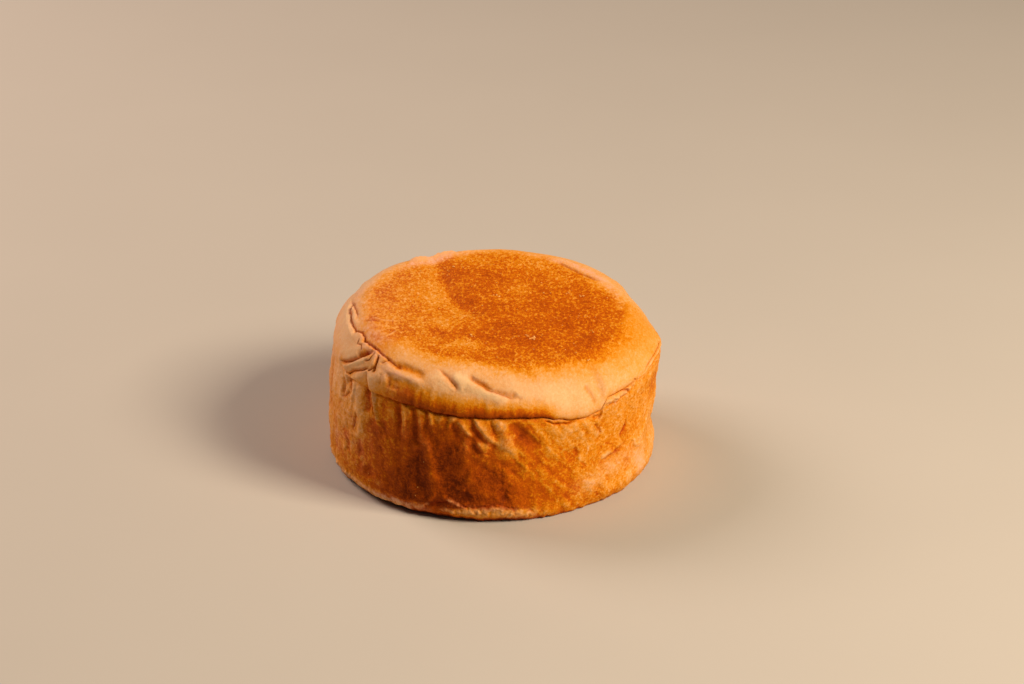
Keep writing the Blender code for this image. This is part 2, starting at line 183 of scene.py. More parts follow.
# Wrinkles, cracks and folds of the skin: kind, half width and height or depth in mm, then the stops of its
# course (azimuth in degrees, distance over the skin from the top's centre in mm). A fold puffs up on the
# left of its course, over a groove that runs along it; a tear is a raised strip of torn, crumbly, pale dough.
WRINKLES = (
    # the rim pinched away from the side, high on the left shoulder
    ("fold", 1.3, 0.3, (-40.2, 41.8), (-42.6, 41.4), (-45.4, 41.1), (-48.8, 40.5), (-53, 40), (-60.1, 40),
        (-61.8, 40.4), (-63.9, 39.5), (-67, 39.1), (-71.3, 40.4), (-75.6, 40.3), (-83.6, 40.2),
        (-89.5, 40.2), (-93.6, 39.7), (-97.5, 40.6), (-102, 40.8)),
    ("crack", 0.26, 0.55, (-40.2, 41.8), (-48.8, 40.5), (-53, 40), (-60.1, 40), (-61.8, 40.4),
        (-63.9, 39.5), (-67, 39.1), (-71.3, 40.4), (-83.6, 40.2), (-93.6, 39.7), (-101, 40.7)),
    ("crack", 0.26, 0.4, (-95.5, 39.9), (-91.5, 39), (-87, 38.4), (-79.4, 38)),
    ("ridge", 0.7, 0.34, (-93, 39.6), (-87, 39.3), (-79, 39.2), (-73, 39.2)),
    ("tear", 0.4, 0.16, (-76, 34.6), (-70.9, 32.2), (-69.3, 30.2), (-67, 27.5)),
    ("tear", 0.36, 0.14, (-56.1, 35.9), (-55.9, 33.9), (-58.1, 31.1)),
    ("ridge", 0.7, 0.26, (-101, 42), (-93.6, 41.2), (-84, 41.6), (-76, 41.7), (-70, 41.8), (-65, 41.2)),
    ("crack", 0.22, 0.35, (-65.5, 40.4), (-63.8, 42), (-61.5, 41.6), (-58.8, 42.8)),
    ("crack", 0.42, 0.45, (-47.5, 40.6), (-45.6, 41), (-42.3, 41.4), (-40.1, 41.8), (-37, 41.6)),
    ("valley", 0.95, 0.46, (-42.5, 41.2), (-38.5, 41.2), (-34.1, 41), (-30.8, 41.3), (-26.5, 42.2)),
    ("ridge", 1.2, 0.46, (-46.5, 42.3), (-41.7, 43.2), (-38.8, 43.5), (-36.1, 43.3), (-32.1, 43.6),
        (-28.9, 43.9), (-25, 44.7)),
    ("ridge", 2, 0.4, (-48, 46), (-44, 45.4), (-40.4, 46.2)),
    ("valley", 1, 0.28, (-38.6, 44.8), (-37, 48)),
    # wrinkles fanning down from the pinch, and the puffed folds between them
    ("ridge", 1.6, 0.3, (-72, 47.2), (-66, 45.4), (-60, 42.8)),
    ("crack", 0.44, 0.95, (-71.6, 49.9), (-68.1, 49.3), (-65.3, 48.1), (-60.9, 46.1), (-58, 43.9),
        (-54.8, 41.8), (-53.8, 40.4)),
    ("valley", 0.9, 0.5, (-60.4, 44.8), (-57.4, 42.9), (-55.2, 41.7), (-53.4, 40.2)),
    ("ridge", 0.7, 0.45, (-68.6, 51), (-60, 47.2), (-54.8, 44.4), (-52.7, 41.9), (-51.9, 40.6)),
    ("crack", 0.26, 0.5, (-54.8, 44.8), (-52.9, 43.4), (-52.6, 41.8), (-52.9, 40.6)),
    ("crack", 0.34, 0.7, (-66, 53), (-64.4, 52), (-61, 49.9), (-57.4, 48.1), (-54, 46.6), (-50.2, 45.1)),
    ("ridge", 0.9, 0.45, (-67.4, 55.6), (-62, 52.8), (-57.2, 50), (-52, 47.8)),
    ("valley", 0.8, 0.36, (-64, 56), (-60, 53.8), (-56, 51.6)),
    ("valley", 0.42, 0.75, (-50.1, 40.9), (-49.3, 42.8), (-49, 44.4), (-48, 46.2)),
    ("ridge", 0.4, 0.3, (-50.9, 44.6), (-50.3, 43), (-50.8, 41.2)),
    ("crack", 0.26, 0.55, (-51.7, 46.6), (-50.2, 45.6), (-49, 44)),
    ("crack", 0.22, 0.35, (-47, 42.8), (-46.2, 42), (-45, 41)),
    ("fold", 1.5, 0.5, (-51.6, 46.2), (-50.7, 48.3), (-49.6, 50), (-49.2, 52), (-48.9, 54.6)),
    ("valley", 0.6, 0.26, (-41.6, 43.8), (-40.8, 45.8), (-39.5, 48)),
    ("valley", 0.6, 0.16, (-44.6, 45), (-43.6, 48)),
    # below them, two hollows with a fold between, and the crack that runs on down the side
    ("valley", 1.25, 0.85, (-51.9, 48.6), (-50.6, 51.8), (-49.8, 54.8), (-49, 57.6), (-48.8, 61)),
    ("ridge", 1.5, 0.4, (-56.4, 54.4), (-54.4, 57), (-53.4, 60), (-52.6, 63)),
    ("crack", 0.34, 0.55, (-49.4, 50.6), (-48.6, 53.2), (-47.6, 55.8), (-46.4, 57.9), (-44.6, 60),
        (-43.6, 62)),
    ("ridge", 0.7, 0.55, (-48.2, 52.4), (-46.6, 55.2), (-45.2, 58), (-43.6, 60.8), (-42.6, 63)),
    ("ridge", 0.95, 0.5, (-58.6, 53.8), (-57, 56.6), (-58.6, 60)),
    ("crack", 0.46, 0.6, (-62.8, 54.4), (-60.4, 55.9), (-57.8, 57.2)),
    ("crack", 0.4, 0.36, (-59.4, 57.4), (-61.8, 59), (-65.4, 61)),
    ("valley", 0.95, 0.65, (-66.6, 55.4), (-65.2, 57.4), (-64.8, 60.6)),
    # slanting wrinkles in the rim, each with a soft fold below it
    ("fold", 2, 0.38, (-14.1, 43.9), (-14.8, 42.8), (-17.1, 41.4), (-19.4, 40.2), (-21.8, 39), (-24, 38)),
    ("valley", 0.55, 0.26, (-14, 44.2), (-14.9, 42.9), (-17.2, 41.5), (-19.5, 40.3), (-22.4, 38.8)),
    ("ridge", 1.2, 0.4, (-17.6, 39.8), (-14.4, 41.5), (-11.8, 43.4)),
    ("ridge", 1.6, 0.46, (-18, 38.8), (-11.9, 41.2), (-7.5, 42.7), (-2.5, 44.1), (0.2, 45.1), (5.6, 47.2)),
    ("valley", 0.85, 0.65, (-11.5, 38.7), (-9.9, 39.4), (-6.4, 40.8), (-3.3, 42.4), (-0.8, 43.3)),
    ("crack", 0.4, 0.24, (-9.6, 39.7), (-6.4, 41.1), (-3.3, 42.7), (-0.4, 43.6), (3.3, 44.2), (7.4, 45.3)),
    ("valley", 0.75, 0.44, (-2.2, 42.9), (0.6, 43.4), (4, 43.9), (7.4, 44.8)),
    ("valley", 0.6, 0.2, (4.8, 43.4), (6.4, 44.2), (8.6, 45.8)),
    ("valley", 0.8, 0.14, (-33, 44), (-31, 48.4)),
    ("valley", 0.7, 0.3, (32.6, 43), (34.2, 45.7), (35.6, 48.6)),
    # the doubled crease at the front right, with a strip of skin between the two
    ("tear", 0.36, 0.3, (15.8, 53.9), (20, 53.7), (25.4, 53.3)),
    ("crack", 0.3, 0.75, (15.8, 54.6), (18.9, 54.9), (22, 55), (25.5, 54.4), (28, 53.6)),
    # the torn lip at the right: a pale ragged strip below the crease, and a fine double line further round
    ("tear", 0.66, 0.62, (36.6, 54.2), (40.2, 54.8), (43.6, 55), (47, 54.9), (50, 54.6), (54, 54.6),
        (58.4, 53)),
    ("crack", 0.34, 0.8, (36.4, 52.6), (38.6, 51.6), (41.4, 52.4), (44.4, 53), (48, 53), (52, 53.2),
        (56, 53)),
    ("valley", 0.66, 0.55, (34.2, 54.2), (36.6, 55), (39, 56.2)),
    ("crack", 0.26, 0.3, (40.8, 56.9), (43.3, 56.4), (46.5, 56.6), (50.1, 55.6), (54, 55.8)),
    ("crack", 0.34, 0.7, (48.4, 53.4), (50.4, 54), (51.8, 54.8), (52.8, 56)),
    ("crack", 0.24, 0.28, (55.2, 49.4), (57.5, 52.4)),
    ("ridge", 0.36, 0.26, (57, 51.4), (62.5, 50.4), (68, 49.6), (76, 49.2), (86, 49.4)),
    ("crack", 0.24, 0.26, (59.5, 50.2), (62.5, 49.4), (67.5, 48.6), (72, 48.4), (78, 48.2), (85, 48.4)),
    ("ridge", 0.4, 0.28, (58, 54.2), (66, 54), (78, 54)),
    ("valley", 0.9, 0.3, (36.6, 54.6), (38.2, 56.4)),
    # cracks and pocks of the right side
    ("crack", 0.26, 0.26, (36.2, 56.8), (37.4, 58.6), (39.2, 61.4), (40.4, 64)),
    ("ridge", 0.7, 0.18, (31, 54.6), (33.2, 56.8), (35.2, 59.4)),
    ("crack", 0.42, 0.5, (53.6, 64.8), (52.4, 66), (50.8, 67.2), (50.2, 68.2)),
    ("tear", 0.45, 0.34, (39.8, 71.2), (42.6, 70.6), (46, 69.8)),
    ("ridge", 0.5, 0.26, (39.8, 71.2), (42.6, 70.5), (46, 69.7)),
    ("crack", 0.26, 0.3, (41, 72), (43.8, 71.6), (46.6, 71.1), (49.4, 70.2)),
    ("valley", 0.5, 0.3, (29, 63.1), (29.6, 64.6), (30.5, 66.2)),
    ("valley", 0.5, 0.3, (31.8, 68.6), (32.8, 69.6), (33.9, 71.2)),
    ("valley", 0.6, 0.22, (46.5, 71.2), (50, 70.8), (54, 70.4)),
    ("valley", 1.6, 0.22, (27, 63), (29.6, 67)),
    ("ridge", 0.42, 0.26, (53, 73.4), (54.6, 71.6), (56.6, 70.4), (58.8, 71), (58.6, 73)),
    ("ridge", 0.4, 0.24, (59.4, 73.6), (60, 71.6), (61.6, 71), (62.6, 72.4), (61.6, 74)),
    ("ridge", 0.5, 0.24, (62.6, 73.6), (63.4, 71.4), (66, 70.2), (69.4, 68.6), (70, 64)),
    # drapes hanging from the crease at the front
    ("ridge", 0.6, 0.36, (-16.6, 53.2), (-15.8, 55.6), (-15.4, 58)),
    ("ridge", 0.55, 0.26, (-19.4, 53.4), (-18.8, 55.6)),
    ("ridge", 0.75, 0.48, (-16, 53.2), (-14.6, 54.7), (-12.4, 55.8), (-10.2, 57.2), (-8.6, 58.2),
        (-6.8, 59.4)),
    ("valley", 0.8, 0.54, (-10, 52), (-8.8, 54.1), (-7.2, 57), (-4.4, 59.7), (-1.4, 61.4)),
    ("ridge", 0.65, 0.42, (-8.8, 53.3), (-7.6, 54.5), (-5.2, 56), (-2.2, 58.7), (0.4, 60.2), (2.6, 61.4)),
    ("valley", 0.8, 0.34, (-16.4, 54.8), (-14, 57.6), (-11.6, 60.4)),
    ("valley", 0.7, 0.26, (-3.4, 53.8), (-1.4, 56), (1.4, 58.4)),
    ("ridge", 0.65, 0.34, (-5.6, 60), (-4, 61.9), (-2.9, 63.3), (-2, 65.2)),
    ("ridge", 1.2, 0.5, (-1, 53.4), (0.8, 55.4), (3.6, 58.8), (6.4, 62.3), (8.4, 64.6)),
    ("valley", 1.7, 0.72, (4.6, 54.6), (6.8, 56.8), (9.6, 58.6), (13, 60.6), (16.2, 63.4)),
    ("ridge", 1.5, 0.2, (-0.4, 58.2), (3.6, 61.4), (8, 64.2), (13, 67)),
    ("ridge", 1.1, 0.24, (12.6, 56.8), (16.4, 60.2), (20.6, 63.8), (24.6, 67.8)),
    ("valley", 1.2, 0.28, (-24, 57), (-22.6, 60), (-21.4, 62.6)),
    ("valley", 1, 0.16, (-5.8, 61), (-4.4, 64)),
    ("valley", 1.3, 0.34, (-9, 74.6), (-7.6, 77.8)),
    ("valley", 1.3, 0.34, (3, 73.8), (4.2, 77.8)),
    ("ridge", 1.4, 0.26, (2, 63), (5.6, 66)),
    ("valley", 1, 0.2, (-14.2, 54), (-12, 58), (-10.6, 62)),
    ("ridge", 0.8, 0.16, (3.6, 68), (7, 71.6)),
    ("ridge", 0.8, 0.14, (9.6, 66.4), (13.4, 70)),
    # upright pleats of the side at the left
    ("ridge", 0.62, 0.42, (-35.8, 51.8), (-34.2, 53.6), (-32.8, 55.8), (-32, 58.8), (-30.8, 61.4),
        (-29.8, 65)),
    ("valley", 0.8, 0.45, (-35.6, 53.8), (-34.4, 57), (-33.4, 60.6), (-32.8, 65)),
    ("ridge", 0.6, 0.34, (-28, 53), (-26.4, 56.8), (-25.2, 59.6), (-24.5, 63.4)),
    ("valley", 0.9, 0.4, (-31, 52.4), (-28.8, 55.8), (-27.8, 59.4), (-26.8, 64)),
    ("valley", 0.7, 0.35, (-25.2, 52), (-24.3, 55), (-23.4, 58.4)),
    ("ridge", 0.5, 0.3, (-23.6, 53.2), (-22.8, 55.4), (-22, 58)),
    ("valley", 2.2, 0.45, (-46, 60.4), (-45.6, 66.4)),
    ("valley", 1.5, 0.45, (-47, 74.2), (-46.6, 77.6)),
    ("valley", 1.3, 0.28, (-40.4, 60), (-39, 64.2)),
    ("valley", 0.9, 0.24, (-40.8, 53.6), (-41.4, 57.4)),
    ("crack", 0.4, 0.35, (-53.8, 61.4), (-54.9, 64.4), (-56.4, 67.6)),
    ("valley", 0.8, 0.26, (-53, 68.6), (-52, 71.4), (-52.3, 74.4)),
    ("ridge", 1, 0.3, (-50.4, 60), (-51, 64.7), (-55.4, 70)),
    ("valley", 1, 0.28, (-60, 71), (-58.6, 74)),
    ("valley", 0.7, 0.24, (-64.2, 68.6), (-62.4, 69.8), (-60.6, 71.4), (-60, 73.2)),
    ("valley", 0.55, 0.26, (-41.4, 67.4), (-41.6, 68.9)),
    ("ridge", 1.45, 0.46, (-25, 60), (-23.4, 63), (-22, 65.8), (-20.6, 68.8), (-19.8, 71.8), (-19.2, 74.8),
        (-18, 77.2), (-16, 78.8)),
    ("ridge", 0.6, 0.34, (-18.8, 75.4), (-20.4, 77.8), (-22.6, 79.6), (-25, 80.8)),
    ("ridge", 0.6, 0.34, (-17.6, 76.4), (-15, 77.9), (-13.1, 78.8), (-10.9, 79.4), (-9, 80.2)),
    ("tear", 0.34, 0.24, (-27, 81.8), (-25, 81.4), (-23.4, 80.6), (-21.6, 79.8)),
    ("tear", 0.45, 0.26, (-16, 77.4), (-13.1, 78.7), (-10.9, 79.4), (-8.4, 80.4)),
    ("valley", 3, 0.34, (-15.6, 58.6), (-15.8, 64), (-15.4, 70), (-13.8, 76.6)),
    ("valley", 2.4, 0.38, (-27.6, 64), (-25, 72), (-23.6, 77)),
    ("ridge", 1.6, 0.26, (-8.6, 62), (-7.4, 68), (-6.4, 73)),
    # the crumbly lip round the foot
    ("tear", 0.62, 0.4, (-88, 80), (-75.5, 80.6), (-66.9, 81.4), (-58.4, 81.5), (-52.7, 81.7), (-47.1, 82),
        (-41.2, 82.5), (-33.7, 82.4), (-29, 81.8), (-25.4, 81), (-22.2, 80)),
    ("tear", 0.42, 0.34, (-19, 81.4), (-15, 81.2), (-11, 81.3), (-3, 81.6)),
    ("tear", 1.15, 0.36, (-14, 80.6), (-9, 80.9), (-5, 81), (0, 80.5), (3, 80.5), (7, 81.6), (12, 82),
        (18, 82.4)),
    ("crack", 0.5, 0.3, (-26, 81), (-22, 80.2), (-18.6, 79.4), (-15.2, 78.4), (-11.5, 79), (-9.1, 79.7),
        (-5.3, 79.9), (-2.9, 79.3), (0.5, 78.6), (4, 79.2), (9, 80.4)),
    # the long dent in the top, and small ones
    ("dent", 3.6, 1.6, *DENT),
    ("valley", 2, 0.3, (-45, 25.2), (-37, 23)),
    ("valley", 0.9, 0.25, (-76.5, 36), (-73.5, 33.5)),
    ("crack", 0.3, 0.18, (-74.5, 37.4), (-72, 35), (-69, 32.8)),
    ("valley", 2.2, 0.2, (20, 12), (60, 14)),
    ("valley", 2.6, 0.18, (120, 21), (95, 24)),
    ("valley", 2.4, 0.18, (-20, 29), (12, 29.5)),
    # the split at the top's back right edge, and the pale flap at its back left edge
    ("crack", 0.3, 0.5, (151, 33.8), (146, 32.6), (139, 31.8), (133, 31.5), (127, 31.9), (119, 33)),
    ("ridge", 1.2, 0.3, (152, 35.4), (144, 34), (136, 33.2), (127, 33.6), (116, 34.8)),
    ("ridge", 1.3, 0.95, (-136, 35.2), (-143, 35), (-150, 35), (-157, 34.8), (-163, 34.6)),
    ("tear", 1.2, 0.4, (-136, 35.2), (-144, 34.9), (-150, 34.9), (-156, 34.8), (-162, 34.6)),
    ("tear", 0.6, 0.3, (-162.5, 34.8), (-168.2, 34.9), (-174.5, 34.6)),
    # folds and pleats round the back
    ("ridge", 1.1, 0.45, (-178, 53.4), (-175, 57), (-171, 61)),
    ("ridge", 1, 0.4, (-168, 53.4), (-165.6, 56), (-163, 60)),
    ("valley", 1.1, 0.45, (-172.6, 53.6), (-169.6, 57), (-166.6, 60.6)),
    ("ridge", 1.1, 0.4, (-150, 53.4), (-147.6, 57.4), (-146.4, 62)),
    ("ridge", 1, 0.4, (-138, 53.4), (-137, 57), (-137.6, 61)),
    ("ridge", 1.1, 0.4, (152, 53.4), (149, 57), (147, 60.6)),
    ("valley", 1, 0.4, (147.6, 53.6), (145, 57), (143.6, 59.6)),
    ("ridge", 1.1, 0.4, (126, 53.4), (124, 57.6), (125, 62)),
    ("ridge", 1, 0.35, (112, 53.4), (110, 57.4)),
    ("tear", 0.8, 0.35, (-172, 81), (-160, 81.6), (-146, 81.2), (-134, 81.8)),
    ("tear", 0.8, 0.35, (116, 81.4), (128, 81), (142, 81.6), (155, 81.2)),
    ("valley", 2.4, 0.5, (-84, 55), (-79, 70)),
    ("valley", 1, 0.45, (-92, 54.6), (-90, 61), (-93, 66)),
    ("valley", 2.8, 0.55, (-112, 54), (-104, 67)),
    ("ridge", 1.6, 0.45, (-119, 43), (-123, 47.5), (-126, 51)),
    ("valley", 1.3, 0.4, (-123.5, 42.5), (-127, 46.5), (-129, 50.5)),
    ("valley", 0.8, 0.5, (-133, 54), (-135, 60), (-133, 65)),
    ("valley", 2.6, 0.55, (-143, 54), (-149, 65.5)),
    ("valley", 1, 0.55, (-158, 56), (-161, 62)),
    ("valley", 1.4, 0.5, (-164, 40), (-169, 44), (-172, 49)),
    ("ridge", 1.7, 0.5, (-168, 41.5), (-173, 45.5), (-177, 50)),
    ("valley", 1.3, 0.4, (172, 42), (168, 45.5), (167, 49.5)),
    ("ridge", 1.8, 0.4, (152, 41.5), (148, 45), (144, 47.5)),
    ("valley", 3, 0.55, (170, 54), (176, 68)),
    ("valley", 0.9, 0.4, (160, 54), (157, 61)),
    ("valley", 2.6, 0.5, (136, 55), (130, 67)),
    ("ridge", 1.2, 0.3, (141, 55), (137, 62)),
    ("valley", 0.8, 0.4, (122, 54), (119, 60.5)),
    ("valley", 2.2, 0.45, (103, 54), (108, 63.5)),
    ("valley", 1.1, 0.35, (140, 71), (147, 72.5), (153, 71.5)),
)
# Broad forms in the same way: the shoulder, slack at the back right and full at the far left, the narrower
# waist at the right, and the full foot below it
BROAD_FORMS = (
    ("valley", 5.2, 1.5, (84, 47.5), (102, 45.5), (124, 42.5)),
    ("ridge", 4.5, 0.4, (-96, 47), (-110, 43.5)),
    ("valley", 4.8, 1.4, (66, 73.5), (88, 75.3), (116, 74)),
    ("ridge", 2.8, 0.75, (34, 81.4), (50, 80.8), (64, 80.6), (76, 80.8)),
)
END_FADE = 0.20
SMALL_WRINKLE = 1.3


def along_course(azimuth, s, course):
    """Distance from a course, the side of it (positive to the left), and the place along it, 0 to 1."""
    stops = np.array(course)
    per_degree = math.radians(1.0) * np.maximum(np.interp(s, outline_s, outline_r), 1.0)
    lengths = np.hypot(np.diff(stops[:, 0]) * math.radians(1.0) * 40.0, np.diff(stops[:, 1]))
    begins = np.concatenate([[0.0], np.cumsum(lengths)])
    nearest = np.full(len(s), 1e9)
    side = np.ones(len(s))
    place = np.zeros(len(s))
    for i, ((az_a, s_a), (az_b, s_b)) in enumerate(zip(stops, stops[1:])):
        px = degrees_from(azimuth, az_a) * per_degree
        py = s - s_a
        dx, dy = (az_b - az_a) * per_degree, s_b - s_a
        part = np.clip((px * dx + py * dy) / (dx * dx + dy * dy), 0.0, 1.0)
        away = np.hypot(px - part * dx, py - part * dy)
        closer = away < nearest
        nearest = np.where(closer, away, nearest)
        side = np.where(closer, np.where(px * dy - py * dx > 0.0, 1.0, -1.0), side)
        place = np.where(closer, (begins[i] + part * lengths[i]) / begins[-1], place)
    return nearest, side, place


def in_reach(s, course, reach):
    """Which points can lie within reach of a course, on its own side of the crease."""
    lowest, highest = (pick(stop[1] for stop in course) for pick in (min, max))
    close = (s > lowest - reach) & (s < highest + reach)
    middle = sum(stop[1] for stop in course) / len(course)
    if middle > S_CREASE + 1.0:
        close &= s > S_CREASE + 0.1
    elif middle < S_CREASE - 3.5:
        close &= s < S_CREASE - 0.1
    return close


def wrinkle_relief(azimuth, s, crumbs, wrinkles):
    """Height of wrinkles over the smooth skin in mm, how much painted shade falls in its cracks and hollows,
    and how torn, 0 to 1.
    """
    relief = np.zeros(len(s))
    crevice_shade = np.zeros(len(s))
    torn = np.zeros(len(s))
    for kind, half_width, size, *course in wrinkles:
        close = in_reach(s, course, 4.5 * half_width)
        away, side, place = along_course(azimuth[close], s[close], course)
        fade = ease(np.minimum(place, 1.0 - place) / END_FADE)
        bell = np.exp(-(away / half_width) ** 2)
        if kind == "valley":
            relief[close] -= size * bell * fade
            crevice_shade[close] = np.maximum(crevice_shade[close], min(size / half_width, 1.0) * 0.75 * bell * fade)
        elif kind == "ridge":
            relief[close] += size * bell * fade
        elif kind == "crack":
            cut = np.exp(-away / half_width)
            brim = np.exp(-((away - 2.2 * half_width) / half_width) ** 2)
            relief[close] += (0.18 * brim - cut) * size * fade
            crevice_shade[close] = np.maximum(crevice_shade[close], cut * fade)
        elif kind == "fold":
            out = away / half_width
            puffed = np.where(side > 0.0, out * np.exp(1.0 - out), -0.35 * out * np.exp(1.0 - 2.0 * out))
            groove = np.exp(-away / (0.25 * half_width))
            relief[close] += (puffed - 0.7 * groove) * size * fade
            crevice_shade[close] = np.maximum(crevice_shade[close], 0.7 * groove * fade)
        elif kind == "tear":
            crumbly = bell * fade * np.clip(0.62 + 0.95 * crumbs[close], 0.0, 1.2)
            relief[close] += size * crumbly
            torn[close] = np.maximum(torn[close], crumbly)
        else:
            relief[close] -= size * np.exp(-np.hypot(away, 0.5) / half_width) * ease((1.0 - place) / 0.5)
    return relief, crevice_shade, torn


# The skin starts as a sheet wound into a tube: sine and minus cosine of the azimuth, and the distance over
# the skin. Its rings and columns are wide apart on the plain stretches and close at the rim; then the sheet
# is divided again along the small wrinkles, except past the fine stretch at the back, outside the top.
COLUMNS = 384
FINE_HALF_TURN = 104.0
FINE_FADE = 14.0
FINE_SHARE = 2.2
TOP_REACH = 38.0
RINGS = (
    # distance over the skin where the stretch ends, spacing of its rings, share of the columns
    (4.0, 0.90, 8), (9.0, 0.85, 4), (18.0, 0.80, 2), (FLAT_RADIUS, 0.75, 1),
    (46.0, 0.46, 1), (56.5, 0.35, 1), (S_FOOT, 0.62, 1), (S_BASE, 0.48, 1),
    (S_BASE + 3.0, 1.0, 1), (S_BASE + 14.0, 1.8, 2), (S_BASE + 30.0, 2.6, 4), (S_END - 2.5, 3.2, 8),
)


def column_azimuths():
    """Azimuths of the columns in degrees, closer together round the front half."""
    turn = np.linspace(-180.0, 180.0, 3601)
    density = 1.0 + (FINE_SHARE - 1.0) * (1.0 - ease((np.abs(turn) - FINE_HALF_TURN) / FINE_FADE))
    run = np.concatenate([[0.0], np.cumsum(0.5 * (density[1:] + density[:-1]))])
    return np.interp(np.linspace(0.0, run[-1], COLUMNS, endpoint=False), run, turn)


def plain_sheet():
    """The wound sheet with its rings and columns, closed at the two centres."""
    azimuths = np.radians(column_azimuths())
    sheet = bmesh.new()
    rings, done = [[sheet.verts.new((0.0, 0.0, 0.0))]], 0.0
    for end, spacing, skip in RINGS:
        count = max(1, round((end - done) / spacing))
        for s in np.linspace(done, end, count + 1)[1:]:
            rings.append([sheet.verts.new((math.sin(turn), -math.cos(turn), s)) for turn in azimuths[::skip]])
        done = end
    rings.append([sheet.verts.new((0.0, 0.0, S_END))])
    for upper, lower in zip(rings, rings[1:]):
        n, m = len(upper), len(lower)
        for i in range(min(n, m) if min(n, m) > 1 else max(n, m)):
            after = i + 1
            if n == m:
                sheet.faces.new((upper[i], lower[i], lower[after % m], upper[after % n]))
            elif n == 1:
                sheet.faces.new((upper[0], lower[i], lower[after % m]))
            elif m == 1:
                sheet.faces.new((upper[after % n], upper[i], lower[0]))
            elif m > n:
                left, right = upper[i], upper[after % n]
                sheet.faces.new((left, lower[2 * i], lower[2 * i + 1]))
                sheet.faces.new((left, lower[2 * i + 1], right))
                sheet.faces.new((right, lower[2 * i + 1], lower[(2 * i + 2) % m]))
            else:
                left, right = lower[i], lower[after % m]
                sheet.faces.new((left, upper[2 * i + 1], upper[2 * i]))
                sheet.faces.new((left, right, upper[2 * i + 1]))
                sheet.faces.new((right, upper[(2 * i + 2) % n], upper[2 * i + 1]))
    return sheet


def azimuth_and_s(places):
    """Azimuth in degrees and distance over the skin of places on the wound sheet."""
    places = np.array(places)
    return np.degrees(np.arctan2(places[:, 0], -places[:, 1])), places[:, 2]


def divide_near_wrinkles(sheet, kinds, margin):
    """Divides the sheet's faces in two each way where small wrinkles of the given kinds run."""
    faces = [face for face in sheet.faces if len(face.verts) == 4]
    azimuth, s = azimuth_and_s([face.calc_center_median() for face in faces])
    near = np.zeros(len(s), bool)
    for kind, half_width, _, *course in WRINKLES:
        behind = abs(course[0][0]) > FINE_HALF_TURN and course[0][1] > TOP_REACH
        if kind not in kinds or half_width > SMALL_WRINKLE or behind:
            continue
        close = in_reach(s, course, 2.5 * half_width)
        away = along_course(azimuth[close], s[close], course)[0]
        near[close] |= away < margin * half_width + 0.2
    edges = {edge for face, chosen in zip(faces, near) if chosen for edge in face.edges}
    bmesh.ops.subdivide_edges(sheet, edges=list(edges), cuts=1, use_grid_fill=True)


def skin_normals(azimuth, s):
    """Unit normals of the baked skin without its wrinkles."""
    turn, walk = 0.3, 0.15
    around = baked_skin(azimuth + turn, s) - baked_skin(azimuth - turn, s)
    down = baked_skin(azimuth, s + walk) - baked_skin(azimuth, s - walk)
    normal = np.cross(down, around)
    return normal / np.maximum(np.linalg.norm(normal, axis=1, keepdims=True), 1e-9)


def lumps(points, size, octaves, shift):
    """Smooth seeded unevenness, about -1 to 1, with lumps of a size in mm."""
    offset = Vector((shift, 1.7 * shift, -2.3 * shift))
    return np.array([noise.fractal(Vector(p) / size + offset, 1.0, 2.0, octaves) for p in points])


sheet = plain_sheet()
divide_near_wrinkles(sheet, ("crack", "fold", "valley", "ridge", "tear"), 1.5)
divide_near_wrinkles(sheet, ("crack",), 1.2)
azimuth, along = azimuth_and_s([vertex.co for vertex in sheet.verts])

skin = baked_skin(azimuth, along)
normals = skin_normals(azimuth, along)
sway = lumps(skin, 2.6, 3, 11.0)
sway_down = lumps(skin, 2.6, 3, 23.0)
crumbs = lumps(skin, 1.0, 2, 71.0)
wrinkled, crevice_shade, torn = wrinkle_relief(azimuth + 0.45 * sway, along + 0.35 * sway_down, crumbs, WRINKLES)
broad = wrinkle_relief(azimuth, along, crumbs, BROAD_FORMS)[0]

# Heights in mm of the skin's smaller forms
PUFF_HEIGHT = 0.50
SWELL_HEIGHT = 0.26
SLOW_HEIGHT = 0.20
PLEAT_HEIGHT = 0.18
RIM_PLEAT_HEIGHT = 0.15
SLANTING_HEIGHT = 0.10
SIDE_MM_PER_DEGREE = 0.76

on_side = ease((along - S_CREASE) / 3.0)
on_top = 1.0 - ease((along - 35.0) / 5.0)
on_base = ease((along - S_BASE + 1.0) / 1.5)
# swells and puffs are drawn out upright, and puffs have sharp hollows between them, like crumpled leather
upright = skin * (1.0, 1.0, 0.6)
slow = lumps(skin, 15.0, 2, 3.0)
swells = lumps(upright, 5.5, 2, 53.0)
grain = lumps(skin, 1.5, 3, 7.0)
puffs = np.abs(lumps(upright + 1.2 * sway[:, None], 3.6, 2, 5.0))
slant = going_round(azimuth, (-30, 0), (5, 1), (60, 0.8), (90, 0)) * np.maximum(along - S_CREASE, 0.0)


def hanging(width, length, lane, shift):
    """Seeded folds of a width and length in mm that hang down the skin, slantwise at the front right."""
    places = np.stack([(azimuth * SIDE_MM_PER_DEGREE - slant) / width, along / length, lane], 1)
    return lumps(places, 1.0, 2, shift)


# fine pleats that gather at the crease and in the rim's lower edge, and faint folds all down the front right
pleats = hanging(1.5, 9.0, np.where(along > S_CREASE, 9.0, 3.0), 61.0)
gathered = np.where(along > S_CREASE, np.exp(-(along - S_CREASE) / 6.0), np.exp(-(S_CREASE - along) / 4.2))
rim_pleats = pleats * ease((along - 42.0) / 7.0) * (along < S_CREASE)
rim_pleats *= going_round(azimuth, (-60, 0.1), (-36, 0.35), (-26, 1), (4, 1), (18, 0.2))
slanting = hanging(1.9, 8.0, np.full(len(along), 5.0), 67.0) * on_side
slanting *= going_round(azimuth, (-34, 0), (-12, 1), (34, 1), (60, 0))
folded = wrinkled + PUFF_HEIGHT * (puffs - 0.25) * (0.16 + 0.84 * on_side) * (1.0 - on_top)
folded += PLEAT_HEIGHT * pleats * gathered + RIM_PLEAT_HEIGHT * rim_pleats + SLANTING_HEIGHT * slanting
